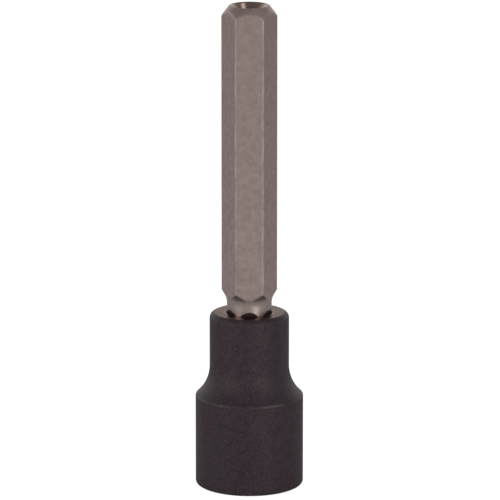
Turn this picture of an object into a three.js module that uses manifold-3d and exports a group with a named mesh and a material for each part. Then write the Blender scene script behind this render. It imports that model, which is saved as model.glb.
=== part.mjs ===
// Hex bit socket for a half-inch square drive: a turned steel socket body, a hollow-tipped
// hex bit whose narrower shank slips into its nose, and the set screw that locks the bit from behind.
// Millimetres, +Z up, origin at the centre of the drive face. One flat of the bit faces -Y.
import * as THREE from "three";
import { mergeVertices } from "three/addons/utils/BufferGeometryUtils.js";
import Module from "manifold-3d";

const wasm = await Module();
wasm.setup();

// Socket body, outside
const DRIVE_DIAMETER = 22.4;
const SHOULDER_HEIGHT = 19.1; // drive face to the shoulder's edge
const WAIST_RADIUS = 8.3; // concave sweep from the shoulder up to the nose
const NOSE_DIAMETER = 16.5;
const NOSE_EDGE_RADIUS = 1.2;
const BASE_EDGE_RADIUS = 0.7;

// Square drive in the foot of the body
const SQUARE_ACROSS_FLATS = 12.8;
const SQUARE_CORNER_RADIUS = 0.8;
const SQUARE_DEPTH = 16.8;
const SQUARE_MOUTH_MARGIN = 0.2; // lead-in cone at the drive face, beyond the corners of the square
const SQUARE_MOUTH_ANGLE = 30; // degrees between that cone and the face
const DETENT_HEIGHT = 8; // drive face to the centres of the detent recesses
const DETENT_BALL_RADIUS = 3;
const DETENT_DEPTH = 1.2; // how far a recess goes into its flat

// Web between the two sockets, with the hole through which a worn bit is driven out
const WEB_THICKNESS = 4.4;
const KNOCK_OUT_DIAMETER = 6.5;

// Hex seat in the nose
const SEAT_DEPTH = 15.5;
const SEAT_CLEARANCE = 0.08; // on each side of the bit's shank, and under its foot
const SEAT_MOUTH_MARGIN = 0.2; // lead-in cone at the nose face, beyond the bit's neck
const SEAT_MOUTH_DEPTH = 0.5; // of that cone, unless the shank's shoulders reach further down

// Hex bit
const HEX_ACROSS_FLATS = 10;
const HEX_EDGE_RADIUS = 0.35; // rounding of the bar's six long edges
const BIT_REACH = 64.5; // nose face to the tip
const FOOT_CHAMFER = 0.8;
const TIP_CHAMFER_ANGLE = 38; // degrees between the chamfer and the bit's axis
const TIP_LAND = 0.33; // flat rim between the chamfer and the countersink
const PIN_HOLE_DIAMETER = 5.2; // clears the pin of a tamper-resistant screw
const PIN_HOLE_DEPTH = 8;
const PIN_HOLE_COUNTERSINK = 1.2; // width of the hole's conical mouth
const PIN_HOLE_COUNTERSINK_ANGLE = 60; // degrees, the included angle of that mouth
const DRILL_POINT_ANGLE = 118; // degrees, the included angle at the bottom of the hole

// Neck turned into the bit just above the nose
const NECK_DEPTH = 0.35; // below the flats
const NECK_HEIGHT = 2; // nose face to the foot of the neck's fillet
const NECK_FILLET_RADIUS = 3.9;

// Shank of the bit, the narrower hexagon that stands in the seat, with six shoulders under the neck
const SHANK_ACROSS_FLATS = 8;
const SHANK_CORNER_DIAMETER = 9; // to which its six edges are turned
const SHANK_SHOULDER_ANGLE = 23; // degrees between a shoulder and the bit's axis
const SHANK_SHOULDER_HEIGHT = 0.87; // nose face to the crowns of the shoulders

// Set screw in the back of the nose, an M4 with a flat point
const SCREW_DIAMETER = 4;
const SCREW_SETBACK = 6; // nose face to the screw's axis
const SCREW_CLEARANCE = 0.08; // round the screw, and between its point and the shank
const SCREW_RECESS = 0.3; // below the round of the nose
const SCREW_END_CHAMFER = 0.4;
const SCREW_KEY_ACROSS_FLATS = 2;
const SCREW_KEY_DEPTH = 1.5;

// Fineness of the round forms, and how far a cutter reaches past what it cuts
const ROUND_STEPS = 72;
const HOLE_STEPS = 32;
const BALL_STEPS = 24;
const ARC_DIVISIONS = 4;
const OVERCUT = 1;

// Places that follow from the sizes above
const seatFloor = SQUARE_DEPTH + WEB_THICKNESS;
const bodyLength = seatFloor + SEAT_DEPTH;
const driveRadius = DRIVE_DIAMETER / 2;
const noseRadius = NOSE_DIAMETER / 2;
const squareApothem = SQUARE_ACROSS_FLATS / 2;
const hexApothem = HEX_ACROSS_FLATS / 2;
const hexReach = cornerReach(6, hexApothem, HEX_EDGE_RADIUS);
const bitInside = SEAT_DEPTH - SEAT_CLEARANCE;
const bitLength = bitInside + BIT_REACH;
const neckRadius = hexApothem - NECK_DEPTH;
const shankApothem = SHANK_ACROSS_FLATS / 2;
const shankCorner = SHANK_CORNER_DIAMETER / 2;
const shoulderSlope = Math.tan(THREE.MathUtils.degToRad(SHANK_SHOULDER_ANGLE));
const shoulderFoot = bitInside + SHANK_SHOULDER_HEIGHT - (neckRadius - shankApothem) / shoulderSlope;
const shankTop = Math.min(shoulderFoot, bitInside - SEAT_MOUTH_DEPTH);
const pinHoleRadius = PIN_HOLE_DIAMETER / 2;
const pinMouthRadius = pinHoleRadius + PIN_HOLE_COUNTERSINK;
const screwHeight = bodyLength - SCREW_SETBACK;

// Distance from the centre of a rounded polygon to the crown of its corners.
function cornerReach(sides, apothem, edgeRadius) {
  return (apothem - edgeRadius) / Math.cos(Math.PI / sides) + edgeRadius;
}

// Outline of a regular polygon with rounded corners, the first of them along startAngle.
function roundedPolygon(sides, apothem, edgeRadius, startAngle = 0) {
  const half = Math.PI / sides;
  const centreReach = (apothem - edgeRadius) / Math.cos(half);
  const shape = new THREE.Shape();
  for (let i = 0; i < sides; i++) {
    const angle = startAngle + 2 * half * i;
    const x = centreReach * Math.cos(angle);
    const y = centreReach * Math.sin(angle);
    shape.absarc(x, y, edgeRadius, angle - half, angle + half, false);
  }
  shape.closePath();
  return shape;
}

// Profile of straight lines between points given as [radius, height].
function polyline(...points) {
  const path = new THREE.Path();
  return path.setFromPoints(points.map(([radius, height]) => new THREE.Vector2(radius, height)));
}

// A profile that starts and ends on the axis, drawn upwards and turned about Z.
function turned(profile, steps = ROUND_STEPS) {
  const geometry = new THREE.LatheGeometry(profile.getPoints(ARC_DIVISIONS), steps);
  return geometry.rotateX(Math.PI / 2);
}

// A six-sided column about Z with two corners along X, its profile given as [apothem, height].
function hexColumn(...points) {
  const profile = polyline(...points.map(([apothem, height]) => [cornerReach(6, apothem, 0), height]));
  return turned(profile, 6).rotateZ(Math.PI / 6);
}

// A prism of a shape, from one height to another.
function prism(shape, bottom, top) {
  const settings = { depth: top - bottom, bevelEnabled: false, curveSegments: ARC_DIVISIONS };
  return new THREE.ExtrudeGeometry(shape, settings).translate(0, 0, bottom);
}

// A round rod along Y, from one place on it to another.
function rod(radius, start, end, steps = HOLE_STEPS) {
  const geometry = new THREE.CylinderGeometry(radius, radius, end - start, steps);
  return geometry.translate(0, (start + end) / 2, 0);
}

// A geometry as a solid that can be joined and cut: shared vertices merged, folded triangles left out.
function solid(geometry) {
  geometry.deleteAttribute("normal");
  geometry.deleteAttribute("uv");
  const merged = mergeVertices(geometry);
  const corners = merged.index.array;
  const triangles = [];
  for (let i = 0; i < corners.length; i += 3) {
    const triangle = corners.slice(i, i + 3);
    if (new Set(triangle).size === 3) {
      triangles.push(...triangle);
    }
  }
  const vertProperties = merged.attributes.position.array;
  const triVerts = new Uint32Array(triangles);
  return new wasm.Manifold(new wasm.Mesh({ numProp: 3, vertProperties, triVerts }));
}

// A finished solid as a named mesh with its own material.
function mesh(name, made, material) {
  const { vertProperties, triVerts } = made.getMesh();
  const geometry = new THREE.BufferGeometry();
  geometry.setAttribute("position", new THREE.BufferAttribute(vertProperties, 3));
  geometry.setIndex(new THREE.BufferAttribute(triVerts, 1));
  geometry.computeVertexNormals();
  const piece = new THREE.Mesh(geometry, material);
  piece.name = name;
  return piece;
}

// The outside of the body, from the drive face past the shoulder and the waist to the rounded nose.
function bodyTurning() {
  const narrowing = (driveRadius - noseRadius) / WAIST_RADIUS;
  const sweep = Math.acos(THREE.MathUtils.clamp(1 - narrowing, 0, 1));
  const waistTop = SHOULDER_HEIGHT + WAIST_RADIUS * Math.sin(sweep);
  const baseCentre = driveRadius - BASE_EDGE_RADIUS;
  const edgeCentre = noseRadius - NOSE_EDGE_RADIUS;
  const edgeHeight = bodyLength - NOSE_EDGE_RADIUS;
  const outline = new THREE.Path();
  outline.moveTo(0, 0);
  outline.lineTo(baseCentre, 0);
  outline.absarc(baseCentre, BASE_EDGE_RADIUS, BASE_EDGE_RADIUS, -Math.PI / 2, 0, false);
  outline.lineTo(driveRadius, SHOULDER_HEIGHT);
  outline.absarc(noseRadius + WAIST_RADIUS, waistTop, WAIST_RADIUS, Math.PI + sweep, Math.PI, true);
  outline.absarc(edgeCentre, edgeHeight, NOSE_EDGE_RADIUS, 0, Math.PI / 2, false);
  outline.lineTo(0, bodyLength);
  return solid(turned(outline));
}

// The square drive: a lead-in cone, the broached square and four recesses for the driver's detent ball.
function squareDrive() {
  const square = roundedPolygon(4, squareApothem, SQUARE_CORNER_RADIUS, Math.PI / 4);
  const mouthRadius = cornerReach(4, squareApothem, SQUARE_CORNER_RADIUS) + SQUARE_MOUTH_MARGIN;
  const slope = Math.tan(THREE.MathUtils.degToRad(SQUARE_MOUTH_ANGLE));
  const mouth = polyline([0, -OVERCUT], [mouthRadius + OVERCUT / slope, -OVERCUT], [0, mouthRadius * slope]);
  let cavity = solid(prism(square, -OVERCUT, SQUARE_DEPTH)).add(solid(turned(mouth)));
  for (let i = 0; i < 4; i++) {
    const ball = new THREE.SphereGeometry(DETENT_BALL_RADIUS, BALL_STEPS, BALL_STEPS / 2);
    ball.translate(0, squareApothem + DETENT_DEPTH - DETENT_BALL_RADIUS, DETENT_HEIGHT);
    cavity = cavity.add(solid(ball.rotateZ((i * Math.PI) / 2)));
  }
  return cavity;
}

// The hole through the web, from the square up into the hex seat.
function knockOutHole() {
  const hole = rod(KNOCK_OUT_DIAMETER / 2, SQUARE_DEPTH - OVERCUT, seatFloor + OVERCUT);
  return solid(hole.rotateX(Math.PI / 2));
}

// The hex seat, as wide as the shank and its clearance, with a lead-in cone round the shoulders.
function hexSeat() {
  const apothem = shankApothem + SEAT_CLEARANCE;
  const corner = shankCorner + SEAT_CLEARANCE;
  const mouthRadius = neckRadius + SEAT_MOUTH_MARGIN;
  const mouthFoot = seatFloor + shankTop;
  const top = bodyLength + OVERCUT;
  const hexagon = hexColumn([0, seatFloor], [apothem, seatFloor], [apothem, top], [0, top]);
  const relief = polyline([0, seatFloor], [corner, seatFloor], [corner, top], [0, top]);
  const mouth = polyline(
    [0, mouthFoot],
    [corner, mouthFoot],
    [mouthRadius, bodyLength],
    [mouthRadius, top],
    [0, top],
  );
  return solid(hexagon).intersect(solid(turned(relief))).add(solid(turned(mouth)));
}

// The set screw's hole, from inside the seat out through the back of the nose.
function screwHole() {
  const hole = rod(SCREW_DIAMETER / 2 + SCREW_CLEARANCE, 0, noseRadius + OVERCUT);
  return solid(hole.translate(0, 0, screwHeight));
}

// The socket body, blacked all over.
function socketBody() {
  const made = bodyTurning()
    .subtract(squareDrive())
    .subtract(knockOutHole())
    .subtract(hexSeat())
    .subtract(screwHole());
  const blackOxide = new THREE.MeshStandardMaterial({ color: 0x3a3236, roughness: 0.45, metalness: 0.6 });
  return mesh("socket_body", made, blackOxide);
}

// What turning leaves of the bar: the edges of the shank, the neck with its fillet, and the tip's chamfer.
// Between fillet and tip it is wider than the bar.
function bitTurning() {
  const blank = hexReach + OVERCUT;
  const neckHeight = bitInside + NECK_HEIGHT;
  const filletCentre = neckRadius + NECK_FILLET_RADIUS;
  const sweep = Math.acos(Math.max(0, (filletCentre - blank) / NECK_FILLET_RADIUS));
  const rimRadius = pinMouthRadius + TIP_LAND;
  const chamferRise = (blank - rimRadius) / Math.tan(THREE.MathUtils.degToRad(TIP_CHAMFER_ANGLE));
  const outline = new THREE.Path();
  outline.moveTo(0, 0);
  outline.lineTo(shankCorner - FOOT_CHAMFER, 0);
  outline.lineTo(shankCorner, FOOT_CHAMFER);
  outline.lineTo(shankCorner, shankTop);
  outline.lineTo(neckRadius, bitInside);
  outline.absarc(filletCentre, neckHeight, NECK_FILLET_RADIUS, Math.PI, Math.PI - sweep, true);
  outline.lineTo(blank, bitLength - chamferRise);
  outline.lineTo(rimRadius, bitLength);
  outline.lineTo(0, bitLength);
  return solid(turned(outline));
}

// What milling leaves of it: the shank's hexagon, which widens by the six shoulders into the neck.
// Above the neck it is wider than the bar.
function shankMilling() {
  const top = bitLength + OVERCUT;
  const widest = shankApothem + (top - shoulderFoot) * shoulderSlope;
  return solid(hexColumn([0, 0], [shankApothem, 0], [shankApothem, shoulderFoot], [widest, top], [0, top]));
}

// The blind hole in the tip, countersunk at its mouth and left with a drill point.
function pinHole() {
  const floor = bitLength - PIN_HOLE_DEPTH;
  const mouthSlope = Math.tan(THREE.MathUtils.degToRad(PIN_HOLE_COUNTERSINK_ANGLE / 2));
  const pointDepth = pinHoleRadius / Math.tan(THREE.MathUtils.degToRad(DRILL_POINT_ANGLE / 2));
  const outline = polyline(
    [0, floor - pointDepth],
    [pinHoleRadius, floor],
    [pinHoleRadius, bitLength - PIN_HOLE_COUNTERSINK / mouthSlope],
    [pinMouthRadius + OVERCUT * mouthSlope, bitLength + OVERCUT],
    [0, bitLength + OVERCUT],
  );
  return solid(turned(outline));
}

// The hex bit, made about its foot and set down in its seat.
function hexBit() {
  const bar = prism(roundedPolygon(6, hexApothem, HEX_EDGE_RADIUS), 0, bitLength);
  const made = solid(bar).intersect(bitTurning()).intersect(shankMilling()).subtract(pinHole());
  const toolSteel = new THREE.MeshStandardMaterial({ color: 0x8a7d77, roughness: 0.4, metalness: 0.85 });
  const bit = mesh("hex_bit", made, toolSteel);
  bit.position.z = seatFloor + SEAT_CLEARANCE;
  return bit;
}

// The set screw, made about its point along Y and set against the back flat of the shank.
function setScrew() {
  const radius = SCREW_DIAMETER / 2;
  const point = shankApothem + SCREW_CLEARANCE;
  const length = noseRadius - SCREW_RECESS - point;
  const outline = polyline(
    [0, 0],
    [radius - SCREW_END_CHAMFER, 0],
    [radius, SCREW_END_CHAMFER],
    [radius, length - SCREW_END_CHAMFER],
    [radius - SCREW_END_CHAMFER, length],
    [0, length],
  );
  const barrel = new THREE.LatheGeometry(outline.getPoints(), HOLE_STEPS);
  const keyReach = cornerReach(6, SCREW_KEY_ACROSS_FLATS / 2, 0);
  const keyHole = rod(keyReach, length - SCREW_KEY_DEPTH, length + OVERCUT, 6);
  const made = solid(barrel).subtract(solid(keyHole));
  const blackSteel = new THREE.MeshStandardMaterial({ color: 0x2b2829, roughness: 0.5, metalness: 0.7 });
  const screw = mesh("set_screw", made, blackSteel);
  screw.position.set(0, point, screwHeight);
  return screw;
}

const hexBitSocket = new THREE.Group();
hexBitSocket.add(socketBody(), hexBit(), setScrew());

export default hexBitSocket;
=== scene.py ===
import math

import bmesh
import bpy
from mathutils import Matrix, Vector


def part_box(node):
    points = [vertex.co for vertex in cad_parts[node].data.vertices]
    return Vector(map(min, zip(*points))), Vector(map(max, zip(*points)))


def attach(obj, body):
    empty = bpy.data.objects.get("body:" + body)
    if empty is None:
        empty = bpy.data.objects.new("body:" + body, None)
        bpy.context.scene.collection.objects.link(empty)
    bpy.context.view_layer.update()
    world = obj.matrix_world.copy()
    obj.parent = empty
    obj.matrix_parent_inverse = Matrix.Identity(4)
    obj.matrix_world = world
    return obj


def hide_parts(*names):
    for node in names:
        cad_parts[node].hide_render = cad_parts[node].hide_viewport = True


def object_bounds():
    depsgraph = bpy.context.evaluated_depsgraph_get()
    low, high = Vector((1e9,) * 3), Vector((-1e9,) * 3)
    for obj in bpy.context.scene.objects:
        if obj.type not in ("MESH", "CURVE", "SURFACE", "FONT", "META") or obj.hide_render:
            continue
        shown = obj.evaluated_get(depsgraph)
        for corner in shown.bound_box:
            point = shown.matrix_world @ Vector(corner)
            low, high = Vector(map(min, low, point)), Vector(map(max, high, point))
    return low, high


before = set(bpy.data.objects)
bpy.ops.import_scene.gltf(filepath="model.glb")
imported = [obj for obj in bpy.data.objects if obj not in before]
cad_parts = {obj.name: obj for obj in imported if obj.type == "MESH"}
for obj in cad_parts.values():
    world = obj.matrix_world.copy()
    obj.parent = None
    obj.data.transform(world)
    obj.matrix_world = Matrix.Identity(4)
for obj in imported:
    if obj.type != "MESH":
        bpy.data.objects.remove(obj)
cad_low, cad_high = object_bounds()


# The socket body is one piece of alloy steel, turned to a drive end, a swept waist and a round nose,
# then broached square from below and hexagonal from above. Hot oxide leaves it near black and satin,
# with a thin brighter line where an edge has been rubbed, and painted highlights on the shoulder edge
# where the lamps glint on it.
MM = 0.001
body_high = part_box("socket_body")[1]
drive_radius = body_high.x
body_length = body_high.z
shoulder_height = 19.1 * MM
shoulder_break = 0.16 * MM
waist_radius = 8.3 * MM
nose_radius = 8.25 * MM
nose_edge = 1.2 * MM
base_edge = 0.7 * MM
square_apothem = 6.4 * MM
square_corner = 0.8 * MM
square_depth = 16.8 * MM
square_mouth = 8.92 * MM
square_mouth_slope = math.tan(math.radians(30))
detent_height = 8 * MM
detent_ball = 3 * MM
detent_depth = 1.2 * MM
detent_centre = square_apothem + detent_depth - detent_ball
knock_out_radius = 3.25 * MM
seat_apothem = 4.08 * MM
seat_corner = 4.58 * MM
seat_clearance = 0.08 * MM
seat_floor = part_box("hex_bit")[0].z - seat_clearance
seat_mouth = 4.85 * MM
seat_mouth_depth = 0.74 * MM
screw_height = body_length - 6 * MM
screw_hole = 2.06 * MM
screw_countersink = 7.7 * MM
screw_hole_start = 0.8 * seat_apothem
screw_hole_steps = 96
broached_edge = 0.12 * MM
body_steps = 288
hair = 0.01 * MM
body_colour_dark = (0.0192, 0.0128, 0.0174, 1)
body_colour_brown = (0.0300, 0.0198, 0.0265, 1)
body_colour_speck = (0.0550, 0.0390, 0.0495, 1)
# The rubbed colour below is also the painted highlight on the shoulder edge.
body_colour_rubbed_and_glint = (0.25, 0.22, 0.21, 1)
body_patch_scale = 700
body_grain_scale = 2300
body_grain_strength = 0.25
body_grain_depth = 0.02 * MM
body_fleck_share = 0.6
body_nick_scale = 150
body_rub_amount = 1.0
body_roughness = 0.5, 0.6
body_specular = 0.26
body_specular_tint = (0.92, 0.8, 0.76, 1)
face_depth = 0.05 * MM
face_gloss = 0.18


def arc(centre, radius, start, end, steps):
    """Points on an arc as (distance from the axis, height), from one angle to another in degrees."""
    angles = [math.radians(start + (end - start) * i / steps) for i in range(steps + 1)]
    return [(centre[0] + radius * math.cos(a), centre[1] + radius * math.sin(a)) for a in angles]


def line(start, end, steps=1):
    """Evenly spaced points from one (distance, height) to another."""
    return [tuple(s + (e - s) * i / steps for s, e in zip(start, end)) for i in range(steps + 1)]


def turn(bm, outline, steps):
    """Spins an outline about Z into a turned surface, with its seam and poles closed."""
    corners = [bm.verts.new((distance, 0, height)) for distance, height in outline]
    edges = [bm.edges.new(pair) for pair in zip(corners, corners[1:])]
    bmesh.ops.spin(
        bm,
        geom=corners + edges,
        cent=(0, 0, 0),
        axis=(0, 0, 1),
        angle=math.tau,
        steps=steps,
        use_merge=True,
    )
    bmesh.ops.remove_doubles(bm, verts=bm.verts, dist=0.001 * MM)


def off_corner(angle, sides, first_corner=0.0):
    """Angle from the nearest corner of a regular polygon, between minus and plus half a side."""
    side = math.tau / sides
    return (angle - first_corner + side / 2) % side - side / 2


def polygon_reach(angle, sides, apothem, corner_radius, first_corner=0.0):
    """Distance from the axis to the side of a polygon with rounded corners, in one direction."""
    half = math.pi / sides
    past = abs(off_corner(angle, sides, first_corner))
    centre = (apothem - corner_radius) / math.cos(half)
    round_ends = math.atan2(corner_radius * math.sin(half), centre + corner_radius * math.cos(half))
    if past > round_ends:
        return apothem / math.cos(half - past)
    return centre * math.cos(past) + math.sqrt(corner_radius**2 - (centre * math.sin(past)) ** 2)


def rounding(a, b, width):
    """How much is rounded off the edge between two surfaces that lie at distances a and b."""
    return max(0.0, 1 - abs(a - b) / width) ** 2 * width / 4


def square_wall(angle, height):
    """Wall of the square drive: the broached square, its lead-in cone and the four ball recesses."""
    square = polygon_reach(angle, 4, square_apothem, square_corner, math.pi / 4)
    cone = square_mouth - height / square_mouth_slope
    wall = max(square, cone) + rounding(square, cone, broached_edge)
    facing = off_corner(angle, 4)
    reach = detent_ball**2 - (height - detent_height) ** 2 - (detent_centre * math.sin(facing)) ** 2
    recess = detent_centre * math.cos(facing) + math.sqrt(max(0.0, reach))
    return max(wall, recess) + rounding(wall, recess, broached_edge)


def seat_wall(angle, height):
    """Wall of the hex seat: the broached hexagon with drilled corners, and its lead-in cone."""
    hexagon = min(polygon_reach(angle, 6, seat_apothem, 0), seat_corner)
    cone = seat_mouth - (seat_mouth - seat_corner) * (body_length - height) / seat_mouth_depth
    return max(hexagon, cone) + rounding(hexagon, cone, broached_edge)


def reach_to(vert, angle, distance):
    """Moves a vertex square to the axis, to a direction and a distance from it."""
    vert.co.xy = distance * math.cos(angle), distance * math.sin(angle)


def as_piece(bm, name, smooth_angle=35):
    """A finished bmesh as an object at the origin, smooth but for its sharp edges."""
    bmesh.ops.recalc_face_normals(bm, faces=bm.faces)
    mesh = bpy.data.meshes.new(name)
    bm.to_mesh(mesh)
    bm.free()
    mesh.shade_smooth()
    mesh.set_sharp_from_angle(angle=math.radians(smooth_angle))
    piece = bpy.data.objects.new(name, mesh)
    bpy.context.scene.collection.objects.link(piece)
    return piece


def lay_along_y(bm, height):
    """Lays what was turned about Z along +Y instead, at a height."""
    bm.transform(Matrix.Translation((0, 0, height)) @ Matrix.Rotation(-math.pi / 2, 4, "X"))


def drill(piece, cutter):
    """Cuts the cutter out of a piece and takes the cutter away."""
    cut = piece.modifiers.new("drill", "BOOLEAN")
    cut.operation = "DIFFERENCE"
    cut.solver = "EXACT"
    cut.object = cutter
    drilled = piece.evaluated_get(bpy.context.evaluated_depsgraph_get())
    piece.data = bpy.data.meshes.new_from_object(drilled)
    piece.modifiers.clear()
    bpy.data.objects.remove(cutter)


def mark(piece, name, rule):
    """Gives each vertex a value between 0 and 1 that the piece's material reads by name."""
    values = [min(1.0, max(0.0, rule(vert.co))) for vert in piece.data.vertices]
    piece.data.attributes.new(name, "FLOAT", "POINT").data.foreach_set("value", values)


# Inside of the body, from the nose down through the web to the drive face, before it is broached.
# Rows are crowded at both mouths and round the ball recesses, where the broached walls bend.
inside = line((seat_mouth, body_length), (seat_mouth, body_length - 1.2 * MM), 24)
inside += line((seat_mouth, body_length - 1.5 * MM), (seat_mouth, seat_floor), 8)
inside += line((knock_out_radius, seat_floor), (knock_out_radius, square_depth))
inside += line((square_apothem, square_depth), (square_apothem, detent_height + 3 * MM), 6)
inside += line(
    (square_apothem, detent_height + 2.7 * MM), (square_apothem, detent_height - 2.7 * MM), 36
)
inside += line((square_apothem, detent_height - 3 * MM), (square_apothem, 2 * MM), 4)
inside += line((square_apothem, 1.7 * MM), (square_apothem, 0), 28)
bm = bmesh.new()
turn(bm, inside, body_steps)
for vert in bm.verts:
    if vert.co.xy.length > knock_out_radius + hair:
        wall = seat_wall if vert.co.z > (square_depth + seat_floor) / 2 else square_wall
        angle = math.atan2(vert.co.y, vert.co.x)
        reach_to(vert, angle, wall(angle, vert.co.z))

# Outside of the body, from the mouth of the square up to the mouth of the hex seat.
waist_sweep = math.degrees(math.acos(1 - (drive_radius - nose_radius) / waist_radius))
waist_top = shoulder_height + waist_radius * math.sin(math.radians(waist_sweep))
waist_start = 180 + waist_sweep - math.degrees(shoulder_break / waist_radius)
outside = line((square_mouth, 0), (drive_radius - base_edge, 0), 3)
outside += arc((drive_radius - base_edge, base_edge), base_edge, -90, 0, 10)
outside += line((drive_radius, 2 * base_edge), (drive_radius, shoulder_height - 2 * shoulder_break), 8)
outside += [(drive_radius, shoulder_height - shoulder_break)]
outside += arc((nose_radius + waist_radius, waist_top), waist_radius, waist_start, 180, 28)
outside += line((nose_radius, waist_top + 0.5 * MM), (nose_radius, body_length - 1.3 * nose_edge), 22)
outside += arc((nose_radius - nose_edge, body_length - nose_edge), nose_edge, 0, 90, 12)
outside += line((nose_radius - 1.2 * nose_edge, body_length), (seat_mouth, body_length), 3)
turn(bm, outside, body_steps)
blacked_body = as_piece(bm, "blacked_body")

# The set screw's hole, drilled in from the back and countersunk.
bm = bmesh.new()
hole_end = nose_radius + 1 * MM
hole_mouth = screw_hole + hole_end - screw_countersink
hole = [(0, screw_hole_start), (screw_hole, screw_hole_start)]
hole += [(screw_hole, screw_countersink), (hole_mouth, hole_end), (0, hole_end)]
turn(bm, hole, screw_hole_steps)
lay_along_y(bm, screw_height)
drill(blacked_body, as_piece(bm, "screw_drill"))

# Edges that handling rubs, as rings (distance from the axis, height). The shoulder also gets painted
# highlights where the lamps glint on it: each has its middle, in degrees to the right of the front, its
# half width in degrees and its strength; between them the shoulder is rubbed at the least share.
rubbed_rings = [
    (drive_radius, shoulder_height),
    (drive_radius - 0.3 * base_edge, 0.3 * base_edge),
    (seat_mouth, body_length),
    (square_mouth, 0),
]
rub_width = 0.25 * MM
shoulder_glints = [(23, 20, 0.9), (-28, 8, 1.0)]
shoulder_rub_least = 0.3


def rub_and_glint_share(co):
    """One on rubbed edges, zero beside; the shoulder has painted highlights and less rub between."""
    share = 1 - min(math.hypot(co.xy.length - r, co.z - z) for r, z in rubbed_rings) / rub_width
    if abs(co.z - shoulder_height) > rub_width:
        return share
    facing = math.degrees(math.atan2(co.x, -co.y))
    glints = [most * (1 - ((facing - middle) / reach) ** 4) for middle, reach, most in shoulder_glints]
    return share * max(shoulder_rub_least, *glints)


mark(blacked_body, "face", lambda co: 1 - (body_length - co.z) / face_depth)
mark(blacked_body, "edge", rub_and_glint_share)


def add(tree, kind, inputs=None, **settings):
    """A new shader node, with its inputs set to values or linked to the outputs of others."""
    made = tree.nodes.new(kind)
    for name, value in settings.items():
        setattr(made, name, value)
    for name, value in (inputs or {}).items():
        if isinstance(value, bpy.types.NodeSocket):
            tree.links.new(value, made.inputs[name])
        else:
            made.inputs[name].default_value = value
    return made


def overlay(tree, mask, under, over):
    """One colour laid over another as far as a mask says."""
    made = add(tree, "ShaderNodeMix", data_type="RGBA")
    sockets = {socket.identifier: socket for socket in [*made.inputs, *made.outputs]}
    for name, value in {"Factor_Float": mask, "A_Color": under, "B_Color": over}.items():
        if isinstance(value, bpy.types.NodeSocket):
            tree.links.new(value, sockets[name])
        else:
            sockets[name].default_value = value
    return sockets["Result_Color"]


def between(tree, value, low, high, to_low=0.0, to_high=1.0):
    """A value stretched from one range to another and held within it."""
    ranges = {"Value": value, "From Min": low, "From Max": high, "To Min": to_low, "To Max": to_high}
    return add(tree, "ShaderNodeMapRange", ranges).outputs["Result"]


def times(tree, first, second):
    """The product of two values."""
    return add(tree, "ShaderNodeMath", {0: first, 1: second}, operation="MULTIPLY").outputs["Value"]


def minus(tree, first, second):
    """The difference of two values."""
    return add(tree, "ShaderNodeMath", {0: first, 1: second}, operation="SUBTRACT").outputs["Value"]


def marked(tree, name):
    """The value that mark has given a piece under a name."""
    return add(tree, "ShaderNodeAttribute", attribute_name=name).outputs["Fac"]


def effect(name, inputs, outputs):
    """An empty node group with named inputs and outputs, to be placed in several materials."""
    group = bpy.data.node_groups.new(name, "ShaderNodeTree")
    for socket, value in inputs.items():
        made = group.interface.new_socket(socket, in_out="INPUT", socket_type="NodeSocketFloat")
        made.default_value = value
    for socket in outputs:
        group.interface.new_socket(socket, in_out="OUTPUT", socket_type="NodeSocketFloat")
    return group, group.nodes.new("NodeGroupInput").outputs


def place_effect(tree, group, settings):
    """The outputs of such a group, placed in a material with settings of its own."""
    return add(tree, "ShaderNodeGroup", settings, node_tree=group).outputs


def speckle(tree, scale, detail, contrast):
    """Noise on the piece's own coordinates, in features of one over scale metres, from 0 to 1."""
    place = add(tree, "ShaderNodeTexCoord").outputs["Object"]
    noise = add(tree, "ShaderNodeTexNoise", {"Vector": place, "Scale": scale, "Detail": detail})
    return between(tree, noise.outputs["Fac"], 0.5 - contrast, 0.5 + contrast)


# Steel that has been through a hot bath or a mill is mottled in soft patches and has a fine grain.
mottle, settings = effect("mottle", {"Patch Scale": 300, "Grain Scale": 3000}, ["Patches", "Grain"])
patches = speckle(mottle, settings["Patch Scale"], detail=3, contrast=0.2)
grain = speckle(mottle, settings["Grain Scale"], detail=2, contrast=0.25)
add(mottle, "NodeGroupOutput", {"Patches": patches, "Grain": grain})

# Edges are rubbed bare in places, more in some than in others.
rubbing, settings = effect("rubbing", {"Nick Scale": 400, "Amount": 0.6}, ["Rubbed"])
nicks = speckle(rubbing, settings["Nick Scale"], detail=3, contrast=0.15)
bared = times(rubbing, marked(rubbing, "edge"), times(rubbing, nicks, settings["Amount"]))
add(rubbing, "NodeGroupOutput", {"Rubbed": bared})


def new_material(piece, name):
    """A node material on a piece, with its tree and its shader."""
    material = bpy.data.materials.new(name)
    material.use_nodes = True
    piece.data.materials.clear()
    piece.data.materials.append(material)
    return material.node_tree, material.node_tree.nodes["Principled BSDF"].inputs


def feed(tree, socket, value):
    """Links a varying value into one of the shader's sockets."""
    tree.links.new(value, socket)


def grain_bump(tree, grain, strength, depth):
    """The small relief that a grain gives a surface, as a normal."""
    settings = {"Height": grain, "Strength": strength, "Distance": depth}
    return add(tree, "ShaderNodeBump", settings).outputs["Normal"]


tree, oxide = new_material(blacked_body, "hot_oxide")
skin = place_effect(tree, mottle, {"Patch Scale": body_patch_scale, "Grain Scale": body_grain_scale})
rub = place_effect(tree, rubbing, {"Nick Scale": body_nick_scale, "Amount": body_rub_amount})
colour = overlay(tree, skin["Patches"], body_colour_dark, body_colour_brown)
flecks = between(tree, skin["Grain"], 0.3, 1.0, 0.0, body_fleck_share)
colour = overlay(tree, flecks, colour, body_colour_speck)
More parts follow.
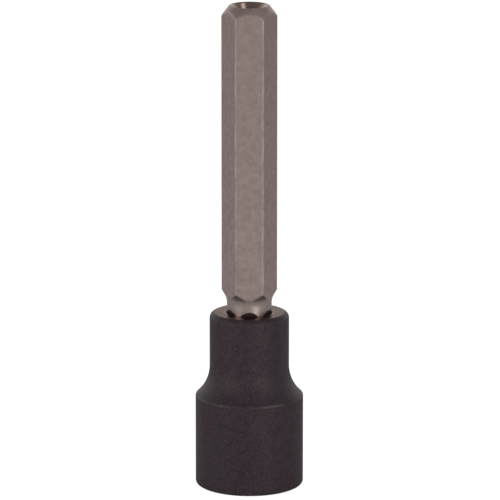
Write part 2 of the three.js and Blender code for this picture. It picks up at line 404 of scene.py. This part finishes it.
# Rubbed edges, and painted highlights where the lamps glint on the shoulder edge.
feed(tree, oxide["Base Color"], overlay(tree, rub["Rubbed"], colour, body_colour_rubbed_and_glint))
satin = between(tree, skin["Grain"], 0, 1, *body_roughness)
face = marked(tree, "face")
feed(tree, oxide["Roughness"], minus(tree, satin, times(tree, face, face_gloss)))
feed(tree, oxide["Metallic"], face)
feed(tree, oxide["Normal"], grain_bump(tree, skin["Grain"], body_grain_strength, body_grain_depth))
oxide["Specular IOR Level"].default_value = body_specular
oxide["Specular Tint"].default_value = body_specular_tint
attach(blacked_body, "body")
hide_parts("socket_body")


# The bit is drawn hexagonal tool steel, turned to a neck above the nose, milled below it to a narrower
# hexagon that stands in the seat, and chamfered and drilled for a pin at the tip. The bar is left matt
# and unplated, with painted light along it, lighter at the neck and darker at the tip. The neck is
# brighter, and the shoulders in the seat are darkened, partly by oxide that has crept up them, partly by
# painted shade.
bit_low, bit_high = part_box("hex_bit")
bit_foot = bit_low.z
bit_tip = bit_high.z
hex_apothem = 5 * MM
hex_corner = 0.2 * MM
blank_radius = 5.95 * MM
foot_chamfer = 0.8 * MM
shank_apothem = 4 * MM
shank_corner = 4.5 * MM
shoulder_crown = body_length + 0.87 * MM
shoulder_slope = math.tan(math.radians(23))
neck_radius = 4.65 * MM
neck_height = body_length + 2 * MM
neck_fillet = 3.9 * MM
tip_rim = 4.13 * MM
tip_slope = math.tan(math.radians(38))
pin_mouth = 3.8 * MM
pin_radius = 2.6 * MM
pin_mouth_slope = math.tan(math.radians(30))
pin_floor = bit_tip - 8 * MM
pin_point = pin_radius / math.tan(math.radians(59))
turned_edge = 0.2 * MM
tip_edge = 0.3 * MM
cut_fade = 0.05 * MM
shoulder_edge = 0.05 * MM
rim_edge = 0.05 * MM
bit_steps = 300
corner_crowding = 1.7
# The bar's top and low colours paint light along it: darker at the tip end, lighter at the neck.
bit_colour_top_painted_shade = (0.294, 0.224, 0.205, 1)
bit_colour_turned = (0.415, 0.334, 0.306, 1)
bit_colour_low_painted_light = (0.335, 0.257, 0.235, 1)
bit_colour_patch = (0.180, 0.131, 0.118, 1)
bit_colour_worn = (0.42, 0.36, 0.33, 1)
# Oxide stain on the shoulders in the seat, which is partly painted shade.
bit_colour_stain_and_shade = (0.052, 0.030, 0.0275, 1)
bit_colour_tip = (0.29, 0.212, 0.183, 1)
bit_patch_scale = 900
bit_patch_share = 0.5
bit_grain_scale = 5200
bit_grain_strength = 0.2
bit_grain_depth = 0.015 * MM
bit_grain_fade = 2 * MM
bit_nick_scale = 260
bit_rub_amount = 0.9
bit_roughness = 0.46, 0.58
bit_metal = 0.5, 0.85
cut_gloss = 0.25
chamfer_bared = 0.15
worn_width = 0.3 * MM

shoulder_foot = shoulder_crown - (neck_radius - shank_apothem) / shoulder_slope
neck_sweep = math.degrees(math.acos(1 - (blank_radius - neck_radius) / neck_fillet))
neck_top = neck_height + neck_fillet * math.sin(math.radians(neck_sweep))
chamfer_foot = bit_tip - (blank_radius - tip_rim) / tip_slope
pin_neck = bit_tip - (pin_mouth - pin_radius) / pin_mouth_slope

foot_radius = shank_corner - foot_chamfer
outline = [(0, bit_foot), (0.9 * foot_radius, bit_foot)]
outline += line((foot_radius, bit_foot), (shank_corner, bit_foot + foot_chamfer), 14)
outline += line((shank_corner, bit_foot + 1.5 * MM), (shank_corner, shoulder_foot - 0.2 * MM), 6)
outline += line((shank_corner, shoulder_foot), (neck_radius, body_length), 20)
outline += line((neck_radius, body_length + 0.03 * MM), (neck_radius, shoulder_crown + 0.3 * MM), 38)
outline += line((neck_radius, shoulder_crown + 0.5 * MM), (neck_radius, neck_height - 0.1 * MM), 4)
outline += arc((neck_radius + neck_fillet, neck_height), neck_fillet, 180, 180 - neck_sweep, 90)
outline += line((blank_radius, neck_top + 0.2 * MM), (blank_radius, neck_top + 2 * MM), 3)
outline += line((blank_radius, neck_top + 6 * MM), (blank_radius, chamfer_foot - 6 * MM), 8)
outline += line((blank_radius, chamfer_foot - 2 * MM), (blank_radius, chamfer_foot - 0.2 * MM), 3)
outline += line((blank_radius, chamfer_foot), (tip_rim + rim_edge, bit_tip - rim_edge / tip_slope), 40)
outline += line((tip_rim - rim_edge, bit_tip), (pin_mouth + rim_edge, bit_tip), 2)
outline += line((pin_mouth - rim_edge * pin_mouth_slope, bit_tip - rim_edge), (pin_radius, pin_neck), 12)
outline += line((pin_radius, pin_neck - 0.1 * MM), (pin_radius, pin_floor), 6)
outline += [(0.5 * pin_radius, pin_floor - 0.5 * pin_point), (0, pin_floor - pin_point)]


def flat_reach(angle, height):
    """Flats of the bar, and below the neck those of the shank with the six shoulders above them."""
    bar = polygon_reach(angle, 6, hex_apothem, hex_corner)
    shoulder = shank_apothem + max(0.0, height - shoulder_foot) * shoulder_slope
    return min(bar, polygon_reach(angle, 6, shoulder, 0))


bm = bmesh.new()
turn(bm, outline, bit_steps)
for vert in bm.verts:
    distance = vert.co.xy.length
    in_hole = vert.co.z > pin_floor - pin_point - hair and distance < pin_mouth + 2 * rim_edge
    if distance > hair and not in_hole:
        angle = math.atan2(vert.co.y, vert.co.x)
        past = off_corner(angle, 6)
        share = abs(past) / (math.pi / 6)
        angle += math.copysign(math.pi / 6 * share**corner_crowding, past) - past
        flat = flat_reach(angle, vert.co.z)
        width = turned_edge if vert.co.z < neck_top else tip_edge
        if vert.co.z < neck_height:
            width = shoulder_edge
        reach_to(vert, angle, min(flat, distance) - rounding(flat, distance, width))
steel_bit = as_piece(bm, "steel_bit", smooth_angle=50)


def cut_share(co):
    """One where the lathe has cut below the flats, zero on the flats themselves."""
    flat = flat_reach(math.atan2(co.y, co.x), co.z)
    return (flat - co.xy.length) / cut_fade


def turned_share(co):
    """One on the turned neck, zero on the flats and at the tip."""
    return cut_share(co) if co.z < neck_top + 1 * MM else 0.0


def drilled_share(co):
    """One in the hole for the pin, and a little on the chamfer round it."""
    on_bar = co.z < chamfer_foot and co.xy.length > pin_radius + hair
    if on_bar or co.z < pin_floor - pin_point:
        return 0.0
    return 1.0 if co.xy.length < pin_mouth else chamfer_bared * min(1.0, cut_share(co))


def corner_share(co):
    """One along the bar's six long edges, falling to zero beside them."""
    return 1 - abs(off_corner(math.atan2(co.y, co.x), 6)) * hex_apothem / worn_width - cut_share(co)


mark(steel_bit, "turned", turned_share)
mark(steel_bit, "edge", corner_share)
mark(steel_bit, "drilled", drilled_share)
# Below the neck: oxide stain and painted shade on the shoulders and shank.
mark(steel_bit, "stain_and_shade", lambda co: 1 - turned_share(co) if co.z < neck_height else 0.0)

tree, steel = new_material(steel_bit, "drawn_steel")
skin = place_effect(tree, mottle, {"Patch Scale": bit_patch_scale, "Grain Scale": bit_grain_scale})
rub = place_effect(tree, rubbing, {"Nick Scale": bit_nick_scale, "Amount": bit_rub_amount})
turned = marked(tree, "turned")
drilled = marked(tree, "drilled")
place = add(tree, "ShaderNodeTexCoord").outputs["Object"]
height = add(tree, "ShaderNodeSeparateXYZ", {"Vector": place}).outputs["Z"]
# Painted light along the bar: lighter at the neck, darker towards the tip.
colour = overlay(tree, between(tree, height, neck_top, bit_tip), bit_colour_low_painted_light, bit_colour_top_painted_shade)
colour = overlay(tree, times(tree, skin["Patches"], bit_patch_share), colour, bit_colour_patch)
colour = overlay(tree, rub["Rubbed"], colour, bit_colour_worn)
colour = overlay(tree, turned, colour, bit_colour_turned)
colour = overlay(tree, drilled, colour, bit_colour_tip)
# Shoulders below the neck darkened by oxide stain and painted shade.
feed(tree, steel["Base Color"], overlay(tree, marked(tree, "stain_and_shade"), colour, bit_colour_stain_and_shade))
matt = between(tree, skin["Grain"], 0, 1, *bit_roughness)
cut = add(tree, "ShaderNodeMath", {0: turned, 1: drilled}, operation="MAXIMUM").outputs["Value"]
feed(tree, steel["Roughness"], minus(tree, matt, times(tree, cut, cut_gloss)))
feed(tree, steel["Metallic"], between(tree, cut, 0, 1, *bit_metal))
above_neck = between(tree, height, neck_top, neck_top + bit_grain_fade)
below_tip = between(tree, height, chamfer_foot, chamfer_foot - bit_grain_fade)
drawn_grain = times(tree, skin["Grain"], times(tree, above_neck, below_tip))
feed(tree, steel["Normal"], grain_bump(tree, drawn_grain, bit_grain_strength, bit_grain_depth))
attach(steel_bit, "bit")
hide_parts("hex_bit")


# The set screw is a headless M4 of blacked steel with a hex key socket. It screws in from the back of
# the nose and bears on one flat of the bit.
screw_low, screw_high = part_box("set_screw")
screw_length = screw_high.y - screw_low.y
screw_crest = 1.98 * MM
screw_root = 1.56 * MM
screw_pitch = 0.7 * MM
screw_flank_slope = 2.4
screw_crest_land = 0.1
screw_chamfer = 0.4 * MM
key_apothem = 1 * MM
key_corner = 0.04 * MM
key_mouth = 1.3 * MM
key_floor = screw_length - 1.5 * MM
screw_steps = 96
screw_colour_dark = (0.009, 0.0075, 0.008, 1)
screw_colour_brown = (0.018, 0.013, 0.014, 1)
screw_colour_rubbed = (0.13, 0.115, 0.11, 1)
screw_patch_scale = 900
screw_grain_scale = 6000
screw_grain_strength = 0.15
screw_grain_depth = 0.01 * MM
screw_nick_scale = 1500
screw_rub_amount = 0.7
screw_rub_width = 0.25 * MM
screw_roughness = 0.34, 0.46
screw_specular = 0.5


def thread_reach(angle, height):
    """Surface of the thread: straight flanks between crest and root, cut away by the chamfered ends."""
    turn_share = (height / screw_pitch - angle / math.tau) % 1
    flank = min(1.0, max(0.0, screw_flank_slope * abs(turn_share - 0.5) - screw_crest_land))
    end = min(height, screw_length - height)
    return min(screw_crest - (screw_crest - screw_root) * flank, screw_crest - screw_chamfer + end)


outline = [(0, 0), (screw_crest - screw_chamfer, 0)]
outline += line((screw_crest, 0.02 * MM), (screw_crest, screw_length - 0.02 * MM), 70)
outline += [(screw_crest - screw_chamfer, screw_length)]
outline += line((key_mouth, screw_length), (key_mouth, screw_length - 0.4 * MM), 8)
outline += [(key_mouth, key_floor), (0, key_floor - 0.3 * MM)]
bm = bmesh.new()
turn(bm, outline, screw_steps)
for vert in bm.verts:
    distance = vert.co.xy.length
    angle = math.atan2(vert.co.y, vert.co.x)
    if abs(distance - screw_crest) < hair:
        reach_to(vert, angle, thread_reach(angle, vert.co.z))
    elif abs(distance - key_mouth) < hair:
        hexagon = polygon_reach(angle, 6, key_apothem, key_corner)
        reach_to(vert, angle, max(hexagon, key_mouth - (screw_length - vert.co.z)))
bm.transform(Matrix.Translation((0, 0, screw_low.y)))
lay_along_y(bm, screw_height)
grub_screw = as_piece(bm, "grub_screw")
mark(grub_screw, "edge", lambda co: 1 - abs(co.y - screw_high.y) / screw_rub_width)

tree, blacked = new_material(grub_screw, "blacked_screw")
skin = place_effect(tree, mottle, {"Patch Scale": screw_patch_scale, "Grain Scale": screw_grain_scale})
rub = place_effect(tree, rubbing, {"Nick Scale": screw_nick_scale, "Amount": screw_rub_amount})
colour = overlay(tree, skin["Patches"], screw_colour_dark, screw_colour_brown)
feed(tree, blacked["Base Color"], overlay(tree, rub["Rubbed"], colour, screw_colour_rubbed))
feed(tree, blacked["Roughness"], between(tree, skin["Grain"], 0, 1, *screw_roughness))
feed(tree, blacked["Normal"], grain_bump(tree, skin["Grain"], screw_grain_strength, screw_grain_depth))
blacked["Specular IOR Level"].default_value = screw_specular
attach(grub_screw, "screw")
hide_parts("set_screw")


# The stage is a pale floor. The lens sees it white, with only the object's own shadow on it.
floor_size = 6.0
floor_glow = 0.93
floor_white = (0.3, 0.3, 0.3, 1)
floor_pale = (0.7, 0.7, 0.7, 1)

bm = bmesh.new()
bmesh.ops.create_grid(bm, x_segments=1, y_segments=1, size=floor_size / 2)
floor = as_piece(bm, "floor")
tree, _ = new_material(floor, "pale_floor")
tree.nodes.clear()
plain = add(tree, "ShaderNodeBsdfDiffuse", {"Color": floor_pale})
shaded = add(tree, "ShaderNodeBsdfDiffuse", {"Color": floor_white})
glow = add(tree, "ShaderNodeEmission", {"Strength": floor_glow})
lit = add(tree, "ShaderNodeAddShader", {0: shaded.outputs["BSDF"], 1: glow.outputs["Emission"]})
seen = add(tree, "ShaderNodeLightPath").outputs["Is Camera Ray"]
faces = {0: seen, 1: plain.outputs["BSDF"], 2: lit.outputs["Shader"]}
surface = add(tree, "ShaderNodeMixShader", faces).outputs["Shader"]
add(tree, "ShaderNodeOutputMaterial", {"Surface": surface})


# The light comes from two softboxes on the right, one low and one high, and a broader, weaker one on the
# left. Round the horizon it is white, brightest behind the object and dimmest far out on the right, with
# a dim ceiling above.
backdrop_ends = math.sin(math.radians(22))
ceiling_starts = math.sin(math.radians(38))
front_ends = -0.3
backdrop_starts = 0.4
right_dims = 0.6
right_dimmest = 0.95
right_share = 0.5
backdrop_light = 1.42
front_light = 0.65
ceiling_light = 0.19

world = bpy.data.worlds.new("studio")
world.use_nodes = True
bpy.context.scene.world = world
tree = world.node_tree
direction = add(tree, "ShaderNodeTexCoord").outputs["Generated"]
along = add(tree, "ShaderNodeSeparateXYZ", {"Vector": direction}).outputs
around = between(tree, along["Y"], front_ends, backdrop_starts, front_light, backdrop_light)
around = times(tree, around, between(tree, along["X"], right_dims, right_dimmest, 1.0, right_share))
level = between(tree, along["Z"], backdrop_ends, ceiling_starts, around, ceiling_light)
tree.nodes["Background"].inputs["Color"].default_value = (1, 1, 1, 1)
tree.links.new(level, tree.nodes["Background"].inputs["Strength"])


def softbox(name, azimuth, distance, height, size, power):
    """A square soft light at a turn to the right of the camera, facing the object."""
    lamp = bpy.data.lights.new(name, "AREA")
    lamp.shape = "SQUARE"
    lamp.size = size
    lamp.energy = power
    bearing = math.radians(azimuth)
    away = Vector((math.sin(bearing), -math.cos(bearing), 0))
    light = bpy.data.objects.new(name, lamp)
    light.location = away * distance + Vector((0, 0, height))
    aim = light.location - (cad_low + cad_high) / 2
    light.rotation_euler = aim.to_track_quat("Z", "Y").to_euler()
    light.visible_camera = False
    bpy.context.scene.collection.objects.link(light)


softbox("right_softbox", azimuth=33, distance=0.3, height=0.07, size=0.13, power=0.295)
softbox("left_softbox", azimuth=-55, distance=0.45, height=0.135, size=0.26, power=0.62)
softbox("high_softbox", azimuth=50, distance=0.45, height=0.45, size=0.2, power=0.40)


# The camera stands in front of one flat of the bit, a little above it and well back, on a long lens.
camera_pitch = math.radians(13.53)
camera_distance = 921.5 * MM
camera_aim = body_length + 12.79 * MM
lens = bpy.data.cameras.new("camera")
lens.lens = 321.1
lens.sensor_width = 36.0
lens.shift_x = 0.0013
lens.shift_y = 0.0034
lens.clip_end = 20
camera = bpy.data.objects.new("camera", lens)
back = Vector((0, -math.cos(camera_pitch), math.sin(camera_pitch)))
camera.location = Vector((0, 0, camera_aim)) + back * camera_distance
camera.rotation_euler = back.to_track_quat("Z", "Y").to_euler()
bpy.context.scene.collection.objects.link(camera)
bpy.context.scene.camera = camera
bpy.context.scene.view_settings.view_transform = "Standard"
